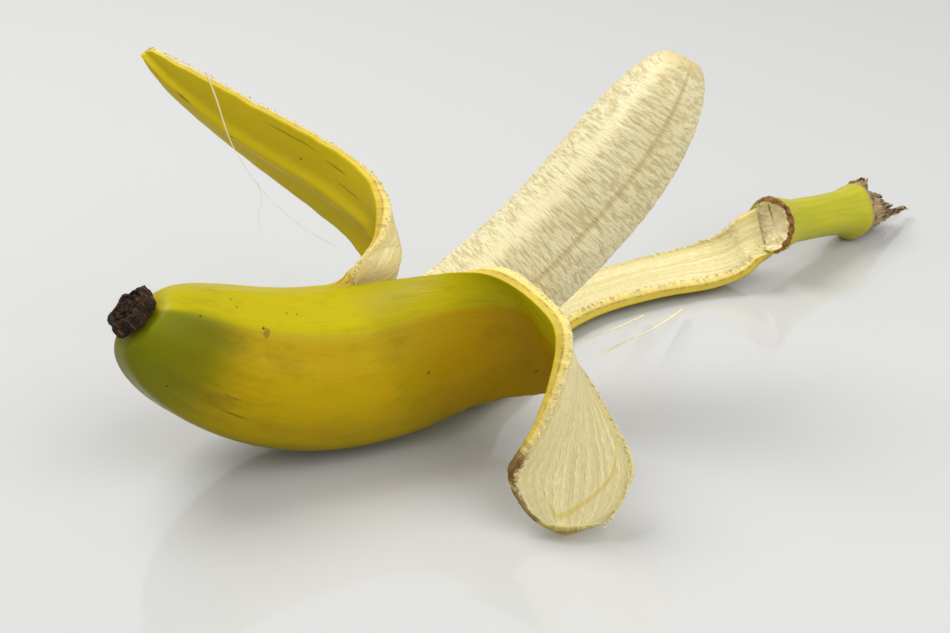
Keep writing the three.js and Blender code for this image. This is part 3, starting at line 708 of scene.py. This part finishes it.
def build_peel():
    bm = tube(COLUMNS, CUP_ROWS + STRIP_ROWS)
    close_ring(bm, 0.0)
    torn = []
    for edge in bm.edges:
        a, b = edge.verts
        if min(a.co.z, b.co.z) < CUP_ROWS - 0.5:
            continue
        angles = [math.degrees(math.atan2(v.co.y, v.co.x)) % 360.0 for v in (a, b)]
        if any(all(abs(angle - tear) < 0.5 for angle in angles) for tear in TEAR_ANGLES):
            torn.append(edge)
    strip_mark = bm.faces.layers.int.new("strip")
    for face in bm.faces:
        centre = face.calc_center_median()
        angle = math.degrees(math.atan2(centre.y, centre.x)) % 360.0
        face[strip_mark] = int(strip_of(tear_to_turn(angle))[0])
    bmesh.ops.split_edges(bm, edges=torn)

    depth_mark = bm.verts.layers.float.new("depth")
    sheet = bm.faces[:]
    for share in LAYERS[1:]:
        grown = bmesh.ops.extrude_face_region(bm, geom=sheet)["geom"]
        sheet = [item for item in grown if isinstance(item, bmesh.types.BMFace)]
        for item in grown:
            if isinstance(item, bmesh.types.BMVert):
                item[depth_mark] = share
    buried = []
    for face in bm.faces:
        shares = [v[depth_mark] for v in face.verts]
        if min(shares) == max(shares) and LAYERS[0] < shares[0] < LAYERS[-1]:
            buried.append(face)
    bmesh.ops.delete(bm, geom=buried, context="FACES")

    bm.verts.ensure_lookup_table()
    angle, row = ring_places(bm)
    turn = tear_to_turn(angle)
    depth_share = np.array([v[depth_mark] for v in bm.verts])
    owner = np.array([min(face[strip_mark] for face in v.link_faces) for v in bm.verts])
    points = np.zeros((len(bm.verts), 3))
    edge_away = np.full(len(bm.verts), 30.0)
    along_skin = np.zeros(len(bm.verts))
    vein = np.full(len(bm.verts), 9.0)
    _, counted = strip_of(turn)
    across_turn = counted.copy()

    in_cup = row <= CUP_ROWS + 0.01
    share = np.clip(row / CUP_ROWS, 0, 1)
    depth = SKIN_WALL * depth_share
    drawn = share ** CUP_ROW_SPACING
    distance = (-BLOSSOM_REACH + depth) * (1 - drawn) + root_at(counted) * drawn
    radius = np.maximum(skin_radius(distance - depth * (1 - share), counted) - depth, 0.0)
    radius = np.where(row < 0.5, 0.0, radius)
    cup = beside_spine(distance, counted, radius)
    points[in_cup] = cup[in_cup]
    along_skin[in_cup] = (distance + BLOSSOM_REACH)[in_cup]

    for number, name in enumerate(STRIP_NAMES):
        strip = STRIPS[name]
        mine = (owner == number) & ~in_cup
        first, last = strip["turns"]
        t = counted[mine]
        t = np.where(t < first - 1, t + 360, np.where(t > last + 1, t - 360, t))
        across = np.clip((t - first) / (last - first), 0, 1)
        along = (row[mine] - CUP_ROWS) / STRIP_ROWS
        share = depth_share[mine]
        walked = np.interp(along, np.linspace(0, 1, 400), strip["walked"])
        one_edge = ribbon_point(strip, np.zeros_like(along), along)
        other_edge = ribbon_point(strip, np.ones_like(along), along)
        width = np.maximum(np.linalg.norm(one_edge - other_edge, axis=1) * 1.15, 4.0)
        opened = smooth(walked / 12.0)
        torn_in = []
        for side in (0, 1):
            seed = 10 * number + side
            long_wave = waver(walked, seed, (17.0, 9.3, 6.1)) * 0.16
            short_wave = waver(walked, seed + 3, (2.9, 1.9, 1.3)) * (0.04 + 0.12 * share)
            rounding = 0.4 * (np.abs(share - 0.45) / 0.55) ** 2
            torn_in.append((long_wave + short_wave + rounding + 0.35) * opened / width)
        across_torn = torn_in[0] + across * (1 - torn_in[0] - torn_in[1])
        tip = np.zeros_like(along)
        if name != "stem_side":
            arc = across * 22.0
            tip = waver(arc, 50 + number, (9.0, 4.3, 2.1)) * 0.5
            tip = tip + waver(arc, 60 + number, (1.7, 1.1)) * share * 0.4
            corner = np.abs(2 * across - 1) ** 2.5
            tip = (tip + 0.6 + (3.6 if name == "front" else 0.8) * corner) / strip["length"]
        along_torn = along * (1 - tip * smooth((along - 0.8) / 0.2))
        thick = SKIN_WALL * (1 - STRIP_THINNING * smooth((along - 0.4) / 0.6))
        folded = share * thick
        if name == "rear":
            fold = np.exp(-(((t - FOLD_TURN) / FOLD_WIDTH) ** 2)) * smooth((along - 0.12) / 0.15)
            folded = folded - FOLD_DEPTH * fold * (1 - 0.6 * share)
        points[mine] = strip_point(strip, across_torn, along_torn, folded)
        if name == "stem_side":
            points[mine] += (smooth((along - 0.94) / 0.06) * (COLLAR_GAP + 1.9))[:, None] * STEM_AXIS
            sunk = smooth((along - 0.93) / 0.07) * 2.6 * share
            points[mine] += sunk[:, None] * ribbon_normal(strip, across, np.minimum(along, 0.98))
        else:
            from_middle = t * math.radians(1) * SKIN_RADIUS - 4.0
            past_vein = root_at(t) + BLOSSOM_REACH + walked - (VEIN_REACH - VEIN_BEND * from_middle ** 6)
            vein[mine] = np.abs(past_vein) if name == "front" else 9.0
        edge_away[mine] = np.minimum(np.minimum(across, 1 - across) * width, (1 - along) * strip["length"])
        along_skin[mine] = root_at(t) + BLOSSOM_REACH + walked
        across_turn[mine] = t
    points = press_flat(points, depth)

    place_mark = bm.verts.layers.float_vector.new("peel_place")
    edge_mark = bm.verts.layers.float.new("peel_edge")
    vein_mark = bm.verts.layers.float.new("peel_vein")
    round_mark = bm.verts.layers.float_vector.new("peel_round")
    tone_mark = bm.verts.layers.float_vector.new("peel_tone")
    painted_shade_mark = bm.verts.layers.float.new("peel_painted_shade")
    pale_mark = bm.verts.layers.float.new("peel_pale")
    front_mark = bm.verts.layers.float.new("peel_front")
    across_turn[in_cup] = ((counted + 110.0) % 360.0 - 110.0)[in_cup]
    across_mm = across_turn * math.radians(1) * SKIN_RADIUS
    turned = np.radians(across_turn)
    flower_end = smooth(1.25 - along_skin / 24.0)
    # Painted shade: the underside made greener and darker towards the flower end
    painted_underside_shade = smooth((-across_turn - 30.0) / 26.0) * smooth(1.7 - along_skin / 62.0)
    green = np.maximum(0.95 * flower_end, 0.55 * painted_underside_shade)
    green = green * (1 - 0.75 * smooth((across_turn - 40.0) / 14.0))
    # Painted shade: the skin under the front strip's arch, orange-brown as in shade with warm bounced light
    painted_arch_shade = smooth((along_skin - 62.0) / 10.0) * smooth((48.0 - across_turn) / 8.0)
    lemon = 0.95 * smooth((across_turn - 41.0) / 6.0)
    # Painted shade: darker on the near face about 13 mm from the flower end, in a band about 64 mm along,
    # on the underside and on the rear strip below its fold
    below_ridge = smooth((46.0 - across_turn) / 8.0)
    above_belly = smooth((across_turn + 40.0) / 20.0)
    painted_shade = 0.50 * np.exp(-(((along_skin - 13.0) / 8.0) ** 2)) * below_ridge * above_belly
    painted_shade = np.maximum(painted_shade, 0.34 * np.exp(-(((along_skin - 64.0) / 7.5) ** 2)))
    painted_shade = np.maximum(painted_shade, 0.26 * smooth((-across_turn - 15.0) / 30.0))
    rear_upper = smooth((along_skin - 66.0) / 8.0) * ((owner == 1) & ~in_cup)
    painted_shade = np.maximum(painted_shade, 0.12 * rear_upper * smooth((FOLD_TURN - across_turn) / 5.0))
    lemon = lemon * (1 - 0.5 * rear_upper)
    pale = 0.8 * rear_upper
    for i, v in enumerate(bm.verts):
        v[place_mark] = (across_mm[i], along_skin[i], depth_share[i])
        v[round_mark] = (
            SKIN_RADIUS * math.cos(turned[i]), SKIN_RADIUS * math.sin(turned[i]), along_skin[i]
        )
        v[edge_mark] = edge_away[i]
        v[vein_mark] = vein[i]
        v[tone_mark] = (green[i], painted_arch_shade[i], lemon[i])
        v[painted_shade_mark] = painted_shade[i]
        v[pale_mark] = pale[i]
        v[front_mark] = float(owner[i] == 0)
    put(bm.verts, points)
    return finished("peel_torn", bm, peel_finish(), replaces=("peel",))


peel = build_peel()


# ---- Torn fibres standing out of the lining's edges ----
FIBRE_COUNT = 260
FIBRE_ROOT_RADIUS = 0.15
FIBRE_TIP_RADIUS = 0.05


def build_fibres(finish):
    chance = np.random.RandomState(11)
    whole = bmesh.new()
    for name in STRIP_NAMES:
        strip = STRIPS[name]
        for side in (0.0, 1.0):
            bruised = name == "front" and side == 1.0
            along = chance.uniform(0.06, 0.66 if bruised else 0.985, FIBRE_COUNT)
            inset = chance.uniform(0.022, 0.06, FIBRE_COUNT)
            across = np.abs(side - inset)
            depth = SKIN_WALL * chance.uniform(0.80, 0.99, FIBRE_COUNT)
            root = strip_point(strip, across, along, depth)
            out = strip_point(strip, across + 0.03 * (2 * side - 1), along, depth) - root
            ahead = strip_point(strip, across, np.minimum(along + 0.01, 1.0), depth) - root
            inward = strip_point(strip, across, along, depth + 0.5) - root
            way = 0
            for part, mean, spread in ((out, 0.7, 0.25), (ahead, 0.5, 0.8), (inward, 0.2, 0.3)):
                unit = part / (np.linalg.norm(part, axis=1)[:, None] + 1e-6)
                way = way + unit * chance.normal(mean, spread, (FIBRE_COUNT, 1))
            way /= np.linalg.norm(way, axis=1)[:, None]
            length = chance.uniform(0.3, 0.95, FIBRE_COUNT)
            for base, direction, reach in zip(root, way, length):
                turned = Vector(direction).to_track_quat("Z", "Y").to_matrix().to_4x4()
                turned.translation = Vector(BELLY + (base + direction * reach * 0.4) * MM)
                bmesh.ops.create_cone(
                    whole, cap_ends=True, segments=5, radius1=FIBRE_ROOT_RADIUS * MM,
                    radius2=FIBRE_TIP_RADIUS * MM, depth=reach * MM, matrix=turned,
                )
    finished("peel_torn_fibres", whole, finish)


fibre_finish = string_finish()
build_fibres(fibre_finish)


# ---- Pulp ----
PULP_COLUMNS = 150
PULP_ROWS = 230
SEAM_TURN = 62.0
SEAM_HEIGHT = 0.25
GROOVE_TURN = 8.0
GROOVE_DEPTH = 0.45
WRINKLE_HEIGHT = 0.16


def pulp_radius(distance, turn):
    in_cup = skin_radius(distance, turn) - SKIN_WALL - PULP_GAP
    bare = PULP_RADIUS * ridge_at(turn, PULP_RIDGE_SHARE)
    leaving = smooth((distance - TEARS[1][1]) / 25.0)
    body = in_cup + (np.minimum(bare, in_cup) - in_cup) * leaving
    left = np.clip((PULP_REACH - distance) / PULP_TIP_LENGTH, 0, 1)
    return PULP_TIP_RADIUS + (body - PULP_TIP_RADIUS) * np.sqrt(1 - (1 - left) ** 2)


def near_turn(turn, middle, width):
    """1 at the middle turn, fading to 0 on both sides over about the width in degrees."""
    return np.exp(-(((turn - middle + 180) % 360 - 180) / width) ** 2)


def build_pulp():
    bm = closed_tube(PULP_COLUMNS, PULP_ROWS)
    turn, row = ring_places(bm)
    share = row / PULP_ROWS
    start = -BLOSSOM_REACH + 2 * SKIN_WALL + PULP_GAP
    hidden = 0.1
    bare_from = -8.0
    distance = np.where(
        share < hidden,
        start + (bare_from - start) * share / hidden,
        bare_from + (PULP_REACH - bare_from)
        * np.sin(0.5 * math.pi * np.clip((share - hidden) / (1 - hidden), 0, 1)) ** 0.92,
    )
    begun = np.clip((distance - start) / 12.0, 0, 1)
    radius = pulp_radius(distance, turn) * np.sqrt(1 - 0.8 * (1 - begun) ** 2)
    wrinkles = np.array([
        noise.fractal(Vector((math.cos(t) * 3.2, math.sin(t) * 3.2, d * 0.75)), 0.9, 2.0, 3)
        for t, d in zip(map(math.radians, turn), distance)
    ])
    bare = smooth((distance - 5.0) / 15.0) * smooth((PULP_REACH - distance) / 6.0)
    seam = near_turn(turn, SEAM_TURN, 9.0)
    groove = near_turn(turn, GROOVE_TURN, 3.5)
    wrinkled = WRINKLE_HEIGHT * wrinkles * (1 - 0.7 * seam)
    radius = radius + (wrinkled + SEAM_HEIGHT * seam - GROOVE_DEPTH * groove) * bare
    radius = np.where((row < 0.5) | (row > PULP_ROWS - 0.5), 0.0, radius)
    points = beside_spine(distance, turn, radius)
    place_mark = bm.verts.layers.float_vector.new("pulp_place")
    seam_mark = bm.verts.layers.float.new("pulp_seam")
    groove_mark = bm.verts.layers.float.new("pulp_groove")
    tip_mark = bm.verts.layers.float.new("pulp_tip")
    for v, t, d, on_seam, on_groove in zip(bm.verts, np.radians(turn), distance, seam, groove):
        v[place_mark] = (12.0 * math.cos(t), 12.0 * math.sin(t), d)
        v[seam_mark] = on_seam
        v[groove_mark] = on_groove
        v[tip_mark] = max(0.0, 1 - (PULP_REACH - d) / 4.0)
    put(bm.verts, points)
    return finished("pulp_bare", bm, pulp_finish(), replaces=("pulp",))


pulp = build_pulp()


# ---- Stem ----
def round_frame(axis):
    """Directions to the left of and over an axis, as used for the round pieces."""
    left = np.cross(axis, (0.0, 0.0, 1.0))
    left /= np.linalg.norm(left)
    return left, np.cross(left, axis)


def rough_at(points, scale, seed=0.0):
    """Uneven numbers from about -1 to 1 at points given in millimetres."""
    shift = Vector((seed, 0.0, 0.0))
    return np.array([noise.fractal(Vector(p) * scale + shift, 0.8, 2.1, 4) for p in points])


def round_points(base, axis, radius, height, turn):
    left, over = round_frame(axis)
    turned = np.radians(turn)
    return (
        base
        + np.outer(radius * np.cos(turned), left)
        + np.outer(radius * np.sin(turned), over)
        + np.outer(height, axis)
    )


# The stem's outline as (radius, height over the collar), from the hollow's middle to the dry end
STEM_PROFILE = (
    (0.0, 2.2), (2.6, 2.1), (COLLAR_RADIUS - 2.0, 1.3), (COLLAR_RADIUS - 1.0, 0.0),
    (COLLAR_RADIUS, 0.6), (COLLAR_RADIUS - 0.5, 3.0),
    (STEM_RADIUS + 0.1, 7.5), (STEM_RADIUS - 0.1, STEM_LENGTH * 0.4),
    (STEM_RADIUS, STEM_LENGTH * 0.7), (FLARE_RADIUS - 0.8, STEM_LENGTH - 4.0),
    (FLARE_RADIUS - 0.1, STEM_LENGTH - 1.4), (FLARE_RADIUS - 0.3, STEM_LENGTH + 0.2),
    (FLARE_RADIUS - 1.6, STEM_LENGTH + 1.2), (FLARE_RADIUS - 3.4, STEM_LENGTH + 4.0),
    (0.0, STEM_LENGTH + 5.0),
)
STEM_COLUMNS = 88
STEM_ROWS = 132


def build_stem():
    bm = closed_tube(STEM_COLUMNS, STEM_ROWS)
    turn, row = ring_places(bm)
    profile = curve_through([(r, h, 0.0) for r, h in STEM_PROFILE], row / STEM_ROWS)
    radius, height = np.maximum(profile[:, 0], 0.0), profile[:, 1]
    step = row / STEM_ROWS * (len(STEM_PROFILE) - 1)
    outer = smooth((step - 4.0) / 2.0) * smooth((12.0 - step) / 1.5)
    facets = 0.035 * np.cos(np.radians(4 * turn) + 0.6) + 0.02 * np.cos(np.radians(3 * turn) + 2.0)
    radius = radius * (1 + facets * outer)
    foot = near_turn(turn, 285.0, 34.0) * np.exp(-((height - STEM_LENGTH + 2) / 2.6) ** 2)
    radius = radius + 0.9 * foot * outer
    points = round_points(COLLAR_MIDDLE, STEM_AXIS, radius, height, turn)
    torn = smooth((5.5 - step) / 2.0) * smooth((radius - 1.0) / 4.0)
    uneven = rough_at(points, 0.55)
    roughened = 0.8 * torn + 0.5 * smooth((step - 11.5) / 1.0)
    height = height + uneven * roughened * (row < STEM_ROWS - 0.5)
    radius = np.maximum(radius + uneven * 0.35 * torn * (radius > 0.3), 0.0)
    points = round_points(COLLAR_MIDDLE, STEM_AXIS, radius, height, turn)
    points[:, 2] = np.maximum(points[:, 2], 0.2)
    place_mark = bm.verts.layers.float_vector.new("stem_place")
    tone_mark = bm.verts.layers.float_vector.new("stem_tone")
    hollow = smooth((3.4 - step) / 1.0)
    rim = np.exp(-((step - 3.4) / 0.9) ** 2) * (0.62 + 0.38 * np.cos(np.radians(turn - 40.0)))
    bare = smooth((step - 10.0) / 0.9)
    tones = np.stack([hollow, rim, bare], axis=1)
    for v, t, h, tone in zip(bm.verts, np.radians(turn), height, tones):
        v[place_mark] = (6.0 * math.cos(t), 6.0 * math.sin(t), h)
        v[tone_mark] = tone
    put(bm.verts, points)
    return finished("stem_and_collar", bm, stem_finish(), replaces=("stem",))


stem = build_stem()


# Torn, dried sheaths at the end of the stem: turn where each sits, width, length, drop and curl
DRY_FLAPS = (
    (95.0, 70.0, 4.6, 0.2, 1.5), (150.0, 90.0, 10.5, -2.2, -1.2), (20.0, 84.0, 16.0, -2.4, -1.4),
    (310.0, 84.0, 16.5, -1.4, -1.8), (250.0, 84.0, 15.0, -1.8, -1.6), (75.0, 64.0, 13.0, -2.8, -0.8),
    (350.0, 48.0, 23.0, -3.2, -0.2), (195.0, 60.0, 13.5, -3.0, -1.0), (125.0, 36.0, 9.0, -1.2, 0.6),
)


def build_dry_end():
    whole = bmesh.new()
    grain_mark = whole.verts.layers.float_vector.new("grain_place")
    layer_mark = whole.verts.layers.float.new("layer")
    for number, (turn, width, length, drop, curl) in enumerate(DRY_FLAPS):
        sheet = bmesh.ops.create_grid(whole, x_segments=14, y_segments=22, size=1.0)["verts"]
        faces = list({face for v in sheet for face in v.link_faces})
        grown = bmesh.ops.extrude_face_region(whole, geom=faces)["geom"]
        inner = [item for item in grown if isinstance(item, bmesh.types.BMVert)]
        for v in inner:
            v[layer_mark] = 1.0
        made = sheet + inner
        side = np.array([v.co.x for v in made])
        share = (np.array([v.co.y for v in made]) + 1) / 2
        layer = np.array([v[layer_mark] for v in made])
        narrow = 1 - 0.80 * share ** 1.5
        ragged = 1 - 0.30 * np.abs(waver(side * 9.0, 70 + number, (5.0, 2.3, 1.1)))
        along = share * length * ragged
        at = turn + side * width * 0.5 * narrow
        flat = np.stack([side * 4.0, np.full_like(side, number * 7.0), along], axis=1)
        crumple = rough_at(flat, 0.45)
        radius = FLARE_RADIUS - 0.5 + drop * share ** 0.8 + curl * share ** 2.4
        radius = radius + (0.9 * crumple + 0.3 * np.cos(side * 7.0)) * share - 0.4 * layer
        points = round_points(COLLAR_MIDDLE, STEM_AXIS, radius, STEM_LENGTH - 0.8 + along, at)
        for v, place in zip(made, flat):
            v[grain_mark] = place
        put(made, points)
    finish = dry_finish("stem_dry_sheath", SHEATH_DARK, SHEATH_MIDDLE, SHEATH_LIGHT, 420)
    finished("stem_dry_end", whole, finish)


build_dry_end()


# ---- Dried flower ----
FLOWER_COLUMNS = 120
FLOWER_ROWS = 60
FLOWER_BASE_DROP = 0.2
# The flower's rings as (share of its radius, share of its height), from its rim to its middle
FLOWER_RINGS = (
    (0.9, 0.0), (1.0, 0.45), (0.93, 0.9), (0.78, 0.98), (0.66, 0.62), (0.52, 0.98), (0.38, 0.70),
    (0.26, 1.05), (0.0, 0.9),
)


def build_flower():
    bm = closed_tube(FLOWER_COLUMNS, FLOWER_ROWS)
    turn, row = ring_places(bm)
    rings = [(BLOSSOM_RADIUS * out, BLOSSOM_HEIGHT * up, 0.0) for out, up in FLOWER_RINGS]
    profile = curve_through([(0.0, -FLOWER_BASE_DROP, 0.0), *rings], row / FLOWER_ROWS)
    radius, height = np.maximum(profile[:, 0], 0.0), profile[:, 1]
    out = radius / BLOSSOM_RADIUS
    lobes = 0.13 * np.cos(np.radians(6 * turn) + 0.5) + 0.05 * np.cos(np.radians(11 * turn))
    radius = radius * (1 + lobes * out ** 2)
    _, along, _ = spine_at([-BLOSSOM_REACH])
    base, axis = beside_spine([-BLOSSOM_REACH - FLOWER_GAP], [0.0], [0.0])[0], -along[0]
    points = round_points(base, axis, radius, height, turn)
    rough = rough_at(points, 0.9)
    between = (row > 0.5) & (row < FLOWER_ROWS - 0.5)
    radius = np.maximum(radius + 0.26 * rough * between * (radius > 0.3), 0.0)
    height = height + np.maximum(0.34 * rough_at(points, 1.3, 5.0), -0.4) * between * (height > 0.4)
    points = round_points(base, axis, radius, height, turn)
    grain_mark = bm.verts.layers.float_vector.new("grain_place")
    for v, t, r, h in zip(bm.verts, np.radians(turn), radius, height):
        v[grain_mark] = (r * 1.6, 5.0 * math.sin(t), 5.0 * math.cos(t) + h)
    put(bm.verts, points)
    finish = dry_finish("flower_dry", FLOWER_DARK, FLOWER_MIDDLE, FLOWER_LIGHT, 650)
    return finished("flower_star", bm, finish, replaces=("blossom_tip",))


flower = build_flower()

# ---- Loose strings: routes from the belly, and their thickness at the start and the end ----
STRING_ROUTES = {
    "string_long": [
        (-33.1, 42.6, 69.7), (-31.2, 42.5, 63.7), (-28.7, 41.6, 54.3), (-27.3, 41, 50.9),
        (-21.3, 38.5, 42), (-12.5, 34, 35.2), (-3.9, 31, 31),
    ],
    "string_branch": [
        (-22.1, 38, 44), (-21.3, 37, 40.1), (-22.3, 36, 36.8), (-21.4, 35, 34),
    ],
    "string_low_1": [(79.5, 55, 2.4), (71, 37, 7), (62, 17, 14), (54.5, -3, 21.5)],
    "string_low_2": [(69.5, 52, 2.2), (63, 37, 7.5), (57, 21, 14), (52, 4, 21.5)],
}
STRING_WIDTHS = {
    "string_long": (0.62, 0.20),
    "string_branch": (0.22, 0.10),
    "string_low_1": (0.70, 0.52),
    "string_low_2": (0.55, 0.42),
}


STRING_COLUMNS = 8
STRING_ROWS = 90


def build_string(name, finish):
    bm = closed_tube(STRING_COLUMNS, STRING_ROWS)
    turn, row = ring_places(bm)
    share = row / STRING_ROWS
    route = STRING_ROUTES[name]
    middle = curve_through(route, share)
    ahead = curve_through(route, share + 0.01) - curve_through(route, share - 0.01)
    ahead /= np.linalg.norm(ahead, axis=1)[:, None]
    left = np.cross(ahead, (0.0, 0.0, 1.0))
    left /= np.linalg.norm(left, axis=1)[:, None]
    over = np.cross(left, ahead)
    thick, thin = STRING_WIDTHS[name]
    width = thin + (thick - thin) * (1 - smooth(share * 1.6)) + 0.04 * waver(share * 60, len(name), (9, 4))
    radius = np.where((row < 0.5) | (row > STRING_ROWS - 0.5), 0.0, width / 2)
    turned = np.radians(turn)
    sideways = left * (radius * np.cos(turned))[:, None]
    upwards = over * (0.6 * radius * np.sin(turned))[:, None]
    put(bm.verts, middle + sideways + upwards)
    return finished(name + "_fibre", bm, finish, replaces=(name,))


for name in STRING_ROUTES:
    build_string(name, fibre_finish)

# ---- Table ----
table_bm = bmesh.new()
bmesh.ops.create_grid(table_bm, x_segments=1, y_segments=1, size=3.0)
bmesh.ops.translate(table_bm, verts=table_bm.verts[:], vec=(0.0, 0.0, -0.0001))
table_mesh = bpy.data.meshes.new("table")
table_bm.to_mesh(table_mesh)
table_bm.free()
table_finish = Finish("table_gloss", Roughness=0.08, IOR=1.7)
table_finish.shader.inputs["Base Color"].default_value = (0.51, 0.51, 0.505, 1.0)
table_mesh.materials.append(table_finish.material)
table = bpy.data.objects.new("table", table_mesh)
bpy.context.collection.objects.link(table)


# ---- Light ----
def softbox(name, place, aim, size, power):
    data = bpy.data.lights.new(name, "AREA")
    data.shape = "RECTANGLE"
    data.size, data.size_y = size
    data.energy = power
    lamp = bpy.data.objects.new(name, data)
    lamp.location = BELLY + np.array(place) * MM
    direction = Vector(aim) - Vector(place)
    lamp.rotation_euler = direction.to_track_quat("-Z", "Y").to_euler()
    bpy.context.collection.objects.link(lamp)


softbox("key_softbox", (-300, 250, 640), (20, 0, 20), (0.42, 0.42), 4.2)
softbox("fill_softbox", (420, -300, 520), (20, 0, 20), (0.7, 0.7), 3.6)

world = bpy.data.worlds.new("studio")
bpy.context.scene.world = world
world.use_nodes = True
world.node_tree.nodes["Background"].inputs["Color"].default_value = (1.0, 1.0, 0.985, 1.0)
world.node_tree.nodes["Background"].inputs["Strength"].default_value = 0.64
